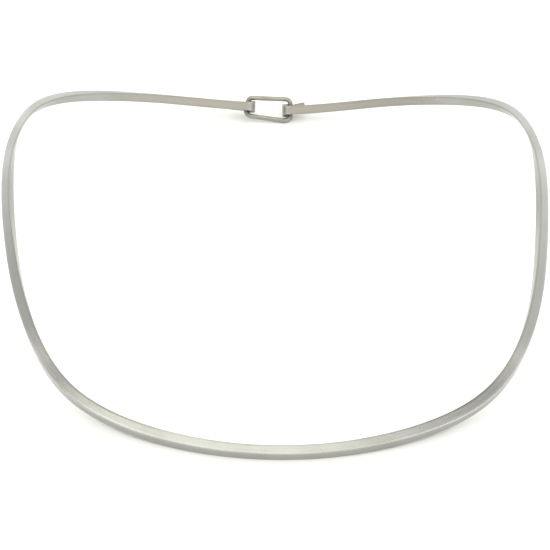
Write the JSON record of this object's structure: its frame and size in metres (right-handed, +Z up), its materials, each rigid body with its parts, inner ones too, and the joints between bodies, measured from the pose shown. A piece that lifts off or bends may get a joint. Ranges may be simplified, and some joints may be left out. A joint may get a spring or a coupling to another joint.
{
  "type": "rigid collar necklace",
  "caption": "Rigid silver collar necklace: a bar of rectangular section bent to lie round the neck, its back ends joined by an eye, a hook and an oblong wire link",
  "frame": {"origin": "middle of the underside of the ring's bounding box, on the surface that it lies on", "axes": "+X toward the hook's side of the clasp, +Y from the front of the ring to its clasp, +Z up from the surface that it lies on"},
  "size_m": [0.1316, 0.1297, 0.0233],
  "materials": {
    "bar_silver": "polished silver, worn to a soft satin with fine marks along the bar",
    "link_silver": "polished silver wire, slightly tarnished"
  },
  "bodies": {
    "root": {"neck_bar": "bar_silver", "clasp_link": "link_silver"}
  },
  "joints": []
}
